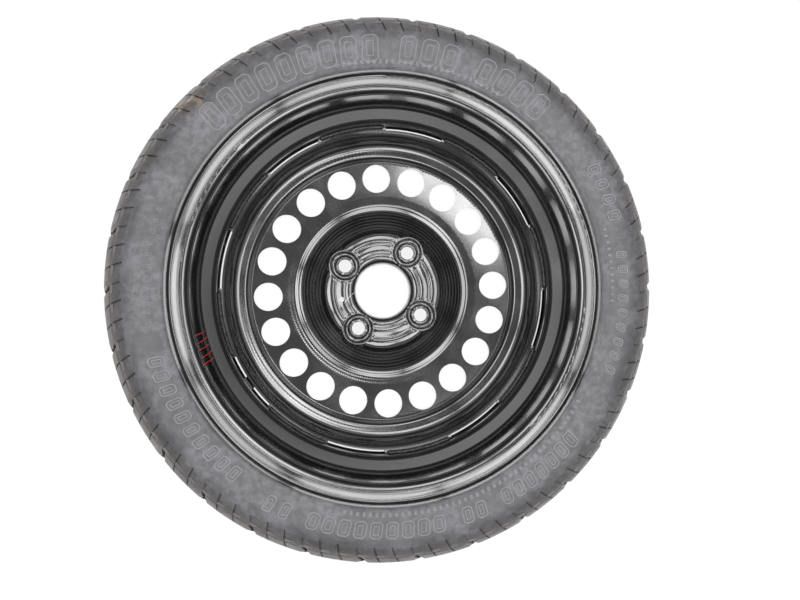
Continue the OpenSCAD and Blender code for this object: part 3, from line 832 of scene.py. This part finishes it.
def bump(tree, shader, heights, distance):
    """Chains bumps, each (height socket, strength)"""
    last = None
    for height, strength in heights:
        node = put(tree, "ShaderNodeBump", {
            "Height": height, "Strength": strength, "Distance": distance})
        if last is not None:
            tree.links.new(last, node.inputs["Normal"])
        last = node.outputs[0]
    tree.links.new(last, shader.inputs["Normal"])


def window(tree, value, middle, half, soft):
    """1 within half of the middle, fading over soft"""
    away = math_node(tree, "ABSOLUTE", math_node(tree, "SUBTRACT", value, middle))
    return span_of(tree, away, half, half + soft, 1.0, 0.0)


def coat(tree, shader, tint, roughness):
    """Links the colour and the roughness of a material"""
    tree.links.new(tint, shader.inputs["Base Color"])
    tree.links.new(roughness, shader.inputs["Roughness"])


# The scuff: its angle and half its width in radians, its radius and half its height in metres
SCUFF_ANGLE, SCUFF_RADIUS = (math.radians(136.6), 0.045), (0.258, 0.014)


def rubber_material(s, name, highlight_share):
    """Dusty rubber, darker towards the tread partly as painted shade; the last argument is how much of the
    pale painted highlight is laid over it, for the marks' outlines
    """
    mat, tree, shader, coords = base_material(name, 0.5)
    radius, angle, _ = polar(tree, coords)
    cloud = noise_of(tree, coords, 24.0, 5.0, 0.65)
    grain = noise_of(tree, coords, 900.0)
    patch = noise_of(tree, coords, 150.0, 5.0, 0.7)
    flecks = noise_of(tree, coords, 90.0, 5.0, 0.7)
    dusty = times(tree, *[span_of(tree, noise, 0.35, 0.65, 0.3, 1.0) for noise in (cloud, patch)])
    tint = mixed(tree, dusty, s.rubber, s.dust)
    # Towards the tread the colour turns to the tread's darker brownish dust: partly real dust, partly
    # painted shade
    tint = mixed(tree, span_of(tree, radius, 0.236, 0.260, 0.0, 0.85), tint, s.tread_dust_and_shade)
    worn = times(
        tree, window(tree, angle, *SCUFF_ANGLE, 0.03), window(tree, radius, *SCUFF_RADIUS, 0.006))
    worn = times(tree, worn, span_of(tree, flecks, 0.46, 0.66, 0.0, 0.8))
    # Painted highlight: by the given share the pale colour covers the rubber, standing in for light on the
    # marks' raised outlines
    tint = mixed(tree, highlight_share, mixed(tree, worn, tint, s.scuff), s.painted_highlight)
    coat(tree, shader, tint, span_of(tree, cloud, 0.3, 0.7, 0.38, 0.56))
    on_wall = window(tree, radius, 0.226, 0.02, 0.006)
    spokes = math_node(tree, "SINE", times(tree, angle, 210.0))
    spokes = times(tree, span_of(tree, spokes, 0.96, 1.0, 0.0, 1.0), on_wall)
    rings = times(tree, math_node(tree, "SINE", times(tree, radius, 5200.0)), on_wall)
    bump(tree, shader, [(grain, 0.3), (patch, 0.35), (spokes, 0.25), (rings, 0.05)], 0.0006)
    shader.inputs["Specular IOR Level"].default_value = 0.5
    return mat


# Bands of the rim with a rounded face: middle radius, lowest and highest height, and how round
ROUNDED_BANDS = [(0.2062, 0.0974, 0.0980, 1100000.0), (0.1974, 0.0934, 0.0938, 42000.0)]
# The thin scratch that runs from the index hole to the bore: middle, turn, half length and bow
SCRATCH_PLACE, SCRATCH_TURN = (-0.0367, -0.0066, 0.0), (0.0, 0.0, math.radians(45))
SCRATCH_HALF, SCRATCH_BOW = 0.0085, 9.0


def rounded_bump(tree, radius, height):
    """Bumps that round the rim's punched lip and crown its flange"""
    layers = []
    for middle, low, high, crown in ROUNDED_BANDS:
        off = math_node(tree, "SUBTRACT", radius, middle)
        inside = window(tree, height, (low + high) / 2, (high - low) / 2, 0.0002)
        layers.append((times(tree, times(tree, times(tree, off, off), -crown), inside), 1.0))
    return layers


def scratch_share(tree, coords):
    """1 on the scratch and 0 beside it"""
    spot = put(tree, "ShaderNodeMapping", {
        "Vector": coords, "Location": SCRATCH_PLACE, "Rotation": SCRATCH_TURN}, vector_type="TEXTURE")
    x, y, _ = put(tree, "ShaderNodeSeparateXYZ", {0: spot}).outputs[:3]
    across = math_node(tree, "ADD", y, times(tree, times(tree, x, x), SCRATCH_BOW))
    return times(
        tree, window(tree, across, 0.0, 0.0001, 0.0003), window(tree, x, 0.0, SCRATCH_HALF, 0.002))


def paint_material(s, name, scratched=False):
    """Gloss black paint: the disc's is scratched, the rim's has rounded edges"""
    mat, tree, shader, coords = base_material(name, s.roughness)
    radius, _, height = polar(tree, coords)
    cloud = noise_of(tree, coords, 22.0, 4.0, 0.6)
    fine = noise_of(tree, coords, 700.0, 2.0)
    peel = noise_of(tree, coords, 260.0, 2.0)
    specks = span_of(tree, noise_of(tree, coords, 1500.0, 1.0), 0.68, 0.76, 0.0, 0.35)
    hazed = math_node(tree, "ADD", span_of(tree, cloud, 0.4, 0.75, 0.0, 0.8), specks)
    tint = mixed(tree, hazed, s.black, s.haze)
    rings = math_node(tree, "MULTIPLY_ADD", radius, 1700.0, times(tree, cloud, 3.0))
    drawn = times(tree, math_node(tree, "SINE", rings), window(tree, radius, 0.078, 0.009, 0.005))
    layers = [(peel, 0.012), (fine, 0.03), (drawn, 0.16)]
    if scratched:
        tint = mixed(tree, scratch_share(tree, coords), tint, (0.4, 0.4, 0.4))
    else:
        layers += rounded_bump(tree, radius, height)
    coat(tree, shader, tint, span_of(tree, cloud, 0.3, 0.75, s.roughness - 0.04, s.roughness + 0.1))
    bump(tree, shader, layers, 0.0006)
    shader.inputs["Specular IOR Level"].default_value = 0.75
    shader.inputs["Coat Weight"].default_value = 1.0
    shader.inputs["Coat Roughness"].default_value = 0.07
    return mat


def weld_material(s):
    mat, tree, shader, coords = base_material("weld_paint", 0.24)
    patch = noise_of(tree, coords, 420.0, 4.0, 0.7)
    cloud = noise_of(tree, coords, 90.0)
    tint = mixed(tree, span_of(tree, cloud, 0.3, 0.7, 0.1, 1.0), s.black, s.haze)
    coat(tree, shader, tint, span_of(tree, patch, 0.3, 0.7, 0.16, 0.42))
    bump(tree, shader, [(patch, 0.7)], 0.0008)
    return mat


def metal_material(name, bright, roughness):
    mat, tree, shader, coords = base_material(name, roughness)
    shader.inputs["Metallic"].default_value = 1.0
    cloud = noise_of(tree, coords, 300.0)
    turned = put(tree, "ShaderNodeMapping", {"Vector": coords, "Scale": (200.0, 200.0, 6000.0)})
    lathe = noise_of(tree, turned, 1.0, 2.0)
    dark = [c * 0.62 for c in bright]
    tint = mixed(tree, span_of(tree, cloud, 0.3, 0.7, 0.0, 0.8), bright, dark)
    coat(tree, shader, tint, span_of(tree, lathe, 0.3, 0.7, roughness - 0.08, roughness + 0.12))
    bump(tree, shader, [(lathe, 0.15)], 0.0002)
    return mat


def soft_material(name, tone, roughness):
    mat, tree, shader, coords = base_material(name, roughness)
    cloud = noise_of(tree, coords, 160.0)
    grain = noise_of(tree, coords, 2600.0, 2.0)
    pale = [c * 1.9 + 0.004 for c in tone]
    tint = mixed(tree, span_of(tree, cloud, 0.35, 0.75, 0.0, 0.7), tone, pale)
    coat(tree, shader, tint, span_of(tree, cloud, 0.3, 0.7, roughness - 0.06, roughness + 0.1))
    bump(tree, shader, [(grain, 0.2)], 0.0002)
    return mat


def dress(node, mat):
    obj = NODES[node]
    if not obj.material_slots:
        obj.data.materials.append(mat)
    for slot in obj.material_slots:
        slot.material = mat


# Operators, one for each piece or group of like pieces

class WHEEL_OT_tyre(bpy.types.Operator):
    """Makes the tyre from one tread pitch repeated round the axis"""

    bl_idname = "spare_wheel.tyre"
    bl_label = "Tyre"

    def execute(self, context):
        s = settings("tyre")
        verts, faces = make_wedge(s)
        wedge = plain_object("tyre_skin", mesh_from("tyre_skin", verts, faces))
        rubber = rubber_material(s, "tyre_rubber", 0.0)
        tyre = settled(wedge, repeat_round_tree(), {
            "Count": s.pitches, "Merge Distance": 0.00001, "Material": rubber})
        tyre.data.polygons.foreach_set("use_smooth", [True] * len(tyre.data.polygons))
        tyre.data.set_sharp_from_angle(angle=math.radians(38))
        turn_out(tyre)
        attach(tyre, BODY)
        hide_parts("tyre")
        return {"FINISHED"}


def turn_out(obj):
    """Points the faces of a closed mesh outwards"""
    bm = bmesh.new()
    bm.from_mesh(obj.data)
    bmesh.ops.recalc_face_normals(bm, faces=bm.faces)
    if bm.calc_volume(signed=True) < 0:
        bmesh.ops.reverse_faces(bm, faces=bm.faces)
    bm.to_mesh(obj.data)
    bm.free()


BANDS = [
    # name, middle radius, block height, block width, first and last angle in degrees, number
    ("marks_large_one", 226.0, 25.0, 15.0, 92.0, 138.5, 9),
    ("marks_large_two", 226.0, 25.0, 15.0, 72.5, 88.0, 3),
    ("marks_large_three", 226.0, 25.0, 15.0, 48.0, 68.5, 4),
    ("marks_base_one", 227.0, 15.0, 9.5, -62.0, -38.0, 7),
    ("marks_base_two", 227.0, 15.0, 9.5, -72.5, -65.5, 2),
    ("marks_base_three", 227.0, 15.0, 11.0, -110.0, -76.0, 9),
    ("marks_base_four", 227.0, 15.0, 8.0, -121.0, -113.0, 2),
    ("marks_side", 222.0, 14.0, 8.5, 196.0, 232.0, 10),
    ("marks_small_left", 221.0, 5.0, 3.0, 160.0, 190.0, 11),
    ("marks_right_one", 230.0, 12.0, 9.0, 16.0, 32.0, 4),
    ("marks_right_two", 228.0, 9.0, 6.5, -22.0, 10.0, 9),
    ("marks_row_upper", 213.5, 3.4, 2.0, 60.0, 104.0, 28),
    ("marks_row_right", 217.0, 3.0, 1.8, -4.0, 16.0, 12),
    ("marks_row_lower", 213.0, 3.4, 2.0, -102.0, -30.0, 44),
]


class WHEEL_OT_tyre_marks(bpy.types.Operator):
    """Moulds plain outlined blocks on the sidewall, in the bands where such a tyre is marked"""

    bl_idname = "spare_wheel.tyre_marks"
    bl_label = "Tyre marks"

    def execute(self, context):
        s = settings("tyre")
        tree = mark_band_tree()
        # The marks' outlines carry 0.72 of the pale painted highlight colour
        rubber = rubber_material(s, "mark_rubber", 0.72)
        for name, middle, high, wide, first, last, count in BANDS:
            large = high > 6
            line = 0.75 if large else 0.45
            base = plain_object(name, bpy.data.meshes.new(name))
            band = settled(base, tree, {
                "Radius": middle * MM, "Start": math.radians(first),
                "Sweep": math.radians(last - first), "Count": count,
                "Block Width": wide * MM, "Block Height": high * MM, "Slant": (1.5 if large else 0.0) * MM,
                "Line": line * MM, "Corner": min(wide, high) * 0.22 * MM, "Material": rubber})
            co = np.zeros(len(band.data.vertices) * 3)
            band.data.vertices.foreach_get("co", co)
            co = co.reshape(-1, 3)
            lift = sidewall_height(np.hypot(co[:, 0], co[:, 1]) / MM) + INSET
            co[:, 2] += (lift - line) * MM + s.mark_height
            band.data.vertices.foreach_set("co", co.reshape(-1))
            band.data.update()
            turn_out(band)
            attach(band, BODY)
        return {"FINISHED"}


# Radius of the weld beads' middle line, and its height over the fillet's foot, in millimetres
WELD_RADIUS, WELD_RISE = 168.75, 1.25


class WHEEL_OT_welds(bpy.types.Operator):
    """Lays a rippled weld bead over each weld run"""

    bl_idname = "spare_wheel.welds"
    bl_label = "Weld runs"

    def execute(self, context):
        s = settings("weld")
        tree = weld_run_tree()
        mat = weld_material(settings("paint"))
        for seed, node in enumerate(WELDS):
            low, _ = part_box(node)
            co = np.array([v.co for v in NODES[node].data.vertices])
            mid = math.atan2(co[:, 1].mean(), co[:, 0].mean())
            off = (np.arctan2(co[:, 1], co[:, 0]) - mid + math.pi) % (2 * math.pi) - math.pi
            base = plain_object("ripple_" + node, bpy.data.meshes.new("ripple_" + node))
            bead = settled(base, tree, {
                "Radius": WELD_RADIUS * MM, "Height": (low[2] * 1000 + WELD_RISE) * MM,
                "Start": mid + float(off.min()), "Sweep": float(off.max() - off.min()),
                "Bead Radius": s.bead_radius, "Ripples": s.ripples, "Unevenness": s.unevenness,
                "Seed": seed, "Material": mat})
            turn_out(bead)
            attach(bead, BODY)
            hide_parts(node)
        return {"FINISHED"}


class WHEEL_OT_disc(bpy.types.Operator):
    """Presses the disc with its hub ridges, stud recesses and rolled hole edges"""

    bl_idname = "spare_wheel.disc"
    bl_label = "Disc"

    def execute(self, context):
        verts, faces = make_disc(settings("disc"))
        disc = plain_object("disc_skin", mesh_from("disc_skin", verts, faces))
        turn_out(disc)
        disc.data.set_sharp_from_angle(angle=math.radians(46))
        disc.data.materials.append(paint_material(settings("paint"), "disc_paint", scratched=True))
        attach(disc, BODY)
        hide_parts("wheel_disc")
        return {"FINISHED"}


class WHEEL_OT_paint(bpy.types.Operator):
    """Paints the rim gloss black"""

    bl_idname = "spare_wheel.paint"
    bl_label = "Wheel paint"

    def execute(self, context):
        dress("rim", paint_material(settings("paint"), "rim_paint"))
        return {"FINISHED"}


PEN_STROKES = [
    # [degrees, radius in mm] along each stroke
    [(-157.2, 187.6), (-158.3, 183.2)],
    [(-159.3, 187.2), (-160.5, 182.6)],
    [(-161.5, 187.4), (-162.6, 183.4)],
    [(-163.6, 187.0), (-164.9, 182.8)],
    [(-166.0, 186.8), (-166.9, 183.6)],
]
PEN_RADIUS, PEN_START = 0.45, 150.0


class WHEEL_OT_pen(bpy.types.Operator):
    """Draws plain paint pen strokes on the rim"""

    bl_idname = "spare_wheel.pen"
    bl_label = "Pen strokes"

    def execute(self, context):
        mesh = NODES["rim"].data
        rim = BVHTree.FromPolygons([v.co for v in mesh.vertices], [p.vertices for p in mesh.polygons])
        mat = soft_material("pen_paint", settings("paint").pen, 0.35)
        verts, edges = [], []
        for stroke in PEN_STROKES:
            first = len(verts)
            for degrees, radius in spaced(stroke, 0.35):
                a = math.radians(degrees)
                start = Vector((radius * math.cos(a), radius * math.sin(a), PEN_START)) * MM
                hit = rim.ray_cast(start, Vector((0, 0, -1)))[0]
                if hit is None:
                    raise RuntimeError("a pen stroke misses the rim")
                verts.append(hit)
            edges += [(k, k + 1) for k in range(first, len(verts) - 1)]
        mesh = bpy.data.meshes.new("pen_strokes")
        mesh.from_pydata(verts, edges, [])
        strokes = settled(plain_object("pen_strokes", mesh), pen_tree(), {
            "Radius": PEN_RADIUS * MM, "Material": mat})
        turn_out(strokes)
        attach(strokes, BODY)
        return {"FINISHED"}


class WHEEL_OT_valve(bpy.types.Operator):
    """Finishes the pieces of the valve"""

    bl_idname = "spare_wheel.valve"
    bl_label = "Valve"

    def execute(self, context):
        s = settings("valve")
        brass = metal_material("valve_brass", s.brass, 0.3)
        wire = metal_material("spring_wire", (0.5, 0.51, 0.53), 0.28)
        rubber = soft_material("valve_rubber", (0.02, 0.02, 0.02), 0.5)
        plastic = soft_material("cap_plastic", s.plastic, 0.42)
        for node in ("valve_stem", "valve_core", "valve_pin"):
            dress(node, brass)
        for node in ("valve_body", "valve_core_seal", "valve_cup_seal", "cap_seal"):
            dress(node, rubber)
        dress("valve_spring", wire)
        dress("valve_cap", plastic)
        return {"FINISHED"}


# Half the floor's width in metres, and the share of plain white that the camera sees on it
FLOOR_HALF, FLOOR_GLOW = 3.0, 0.86
WHITE = (1, 1, 1, 1)
LAMPS = [
    # name, place, size, watts
    ("lamp_right", (0.66, 0.04, 1.20), 0.50, 3.0),
    ("lamp_upper_right", (0.47, 0.47, 1.20), 0.50, 4.4),
    ("lamp_top", (0.0, 0.66, 1.20), 0.50, 3.4),
    ("lamp_upper_left", (-0.48, 0.46, 1.20), 0.50, 3.6),
    ("lamp_left", (-0.68, -0.02, 1.20), 0.50, 4.2),
    ("lamp_lower_left", (-0.48, -0.48, 1.20), 0.50, 2.8),
    ("lamp_bottom", (0.0, -0.67, 1.20), 0.50, 3.6),
    ("lamp_lower_right", (0.47, -0.47, 1.20), 0.50, 4.0),
    ("lamp_over", (0.20, 0.19, 1.25), 0.22, 1.1),
    ("lamp_over_low", (0.16, -0.24, 1.25), 0.18, 0.5),
]
CAMERA_PLACE, CAMERA_PITCH, CAMERA_ROLL = (-0.0366, -0.018, 0.6543), -0.66, -4.85


def seen_directly(tree):
    """1 for rays that come straight from the camera, or through a clear piece"""
    rays = tree.nodes.new("ShaderNodeLightPath").outputs
    return math_node(tree, "MAXIMUM", rays["Is Camera Ray"], rays["Is Transmission Ray"])


def floor_material(tone):
    """White paper whose shade the camera sees only in part"""
    mat, tree, shader, coords = base_material("floor_paper", 0.8)
    pale = [min(1.0, c * 1.03) for c in tone]
    feed(tree, shader.inputs["Base Color"], mixed(tree, noise_of(tree, coords, 3.0), tone, pale))
    glow = put(tree, "ShaderNodeEmission", {"Color": WHITE, "Strength": 1.0})
    share = times(tree, seen_directly(tree), FLOOR_GLOW)
    both = put(tree, "ShaderNodeMixShader", {0: share, 1: shader, 2: glow})
    tree.links.new(both.outputs[0], tree.nodes["Material Output"].inputs["Surface"])
    return mat


def light_up(scene, s):
    """The surroundings, white to the camera and dim to the wheel, and the lamps"""
    world = bpy.data.worlds.new("studio")
    scene.world = world
    world.use_nodes = True
    tree = world.node_tree
    sky = tree.nodes["Background"]
    sky.inputs["Color"].default_value = WHITE
    toward = tree.nodes.new("ShaderNodeTexCoord").outputs["Generated"]
    up = put(tree, "ShaderNodeSeparateXYZ", {0: toward}).outputs["Z"]
    soft = span_of(tree, up, 0.2, 0.95, s.low_sky, s.high_sky)
    band = window(tree, up, 0.6, 0.015, 0.07)
    soft = math_node(tree, "MULTIPLY_ADD", band, s.band_sky, soft)
    feed(tree, sky.inputs["Strength"], math_node(tree, "MAXIMUM", seen_directly(tree), soft))
    for name, place, width, watts in LAMPS:
        light = bpy.data.lights.new(name, "AREA")
        light.shape = "DISK"
        light.size = width
        light.energy = watts * s.lamp
        lamp = bpy.data.objects.new(name, light)
        lamp.location = place
        aim = Vector((0, 0, 0.03)) - Vector(place)
        lamp.rotation_euler = aim.to_track_quat("-Z", "Y").to_euler()
        scene.collection.objects.link(lamp)


def place_camera(scene, focal):
    """Puts the camera over the wheel, at the photograph's angle"""
    data = bpy.data.cameras.new("camera")
    data.sensor_width = 36.0
    data.lens = focal
    data.clip_start = 0.01
    camera = bpy.data.objects.new("camera", data)
    pitch = Matrix.Rotation(math.radians(CAMERA_PITCH), 3, "X")
    roll = Matrix.Rotation(math.radians(CAMERA_ROLL), 3, "Y")
    right, down, ahead = pitch @ roll @ Matrix(((1, 0, 0), (0, -1, 0), (0, 0, -1)))
    turn = Matrix((right, -down, -ahead)).transposed()
    camera.matrix_world = Matrix.Translation(CAMERA_PLACE) @ turn.to_4x4()
    scene.collection.objects.link(camera)
    scene.camera = camera


class WHEEL_OT_stage(bpy.types.Operator):
    """Puts up the floor, the soft lamps and the camera"""

    bl_idname = "spare_wheel.stage"
    bl_label = "Stage"

    def execute(self, context):
        s = settings("stage")
        scene = context.scene
        low = CAD_BOX[0][2]
        size = FLOOR_HALF
        floor = plain_object("floor", mesh_from("floor", [
            (-size, -size, low), (size, -size, low), (size, size, low), (-size, size, low)],
            [(0, 1, 2, 3)], False))
        floor.data.materials.append(floor_material(s.floor))
        light_up(scene, s)
        place_camera(scene, s.focal)
        scene.view_settings.view_transform = "Standard"
        return {"FINISHED"}


class WHEEL_PT_parts(bpy.types.Panel):
    """Lists the steps that dress the wheel"""

    bl_idname = "WHEEL_PT_parts"
    bl_label = "Spare Wheel"
    bl_space_type = "VIEW_3D"
    bl_region_type = "UI"
    bl_category = "Wheel"

    def draw(self, context):
        layout = self.layout
        for step in STEPS:
            layout.operator(step.bl_idname)
        for name, group in GROUPS:
            box = layout.box()
            box.label(text=name.capitalize())
            for key in group.__annotations__:
                box.prop(settings(name), key)


STEPS = [
    WHEEL_OT_tyre, WHEEL_OT_tyre_marks, WHEEL_OT_welds, WHEEL_OT_disc, WHEEL_OT_paint, WHEEL_OT_pen,
    WHEEL_OT_valve, WHEEL_OT_stage]
GROUPS = [
    ("tyre", TyreSettings), ("disc", DiscSettings), ("paint", PaintSettings), ("weld", WeldSettings),
    ("valve", ValveSettings), ("stage", StageSettings)]


def register():
    for name, group in GROUPS:
        bpy.utils.register_class(group)
        setattr(bpy.types.Scene, "spare_wheel_" + name, bpy.props.PointerProperty(type=group))
    for cls in STEPS + [WHEEL_PT_parts]:
        bpy.utils.register_class(cls)


def unregister():
    for cls in [WHEEL_PT_parts] + STEPS[::-1]:
        bpy.utils.unregister_class(cls)
    for name, group in GROUPS[::-1]:
        delattr(bpy.types.Scene, "spare_wheel_" + name)
        bpy.utils.unregister_class(group)


def main():
    register()
    bpy.ops.spare_wheel.tyre()
    bpy.ops.spare_wheel.tyre_marks()
    bpy.ops.spare_wheel.welds()
    bpy.ops.spare_wheel.disc()
    bpy.ops.spare_wheel.paint()
    bpy.ops.spare_wheel.pen()
    bpy.ops.spare_wheel.valve()
    bpy.ops.spare_wheel.stage()


if __name__ == "__main__":
    main()
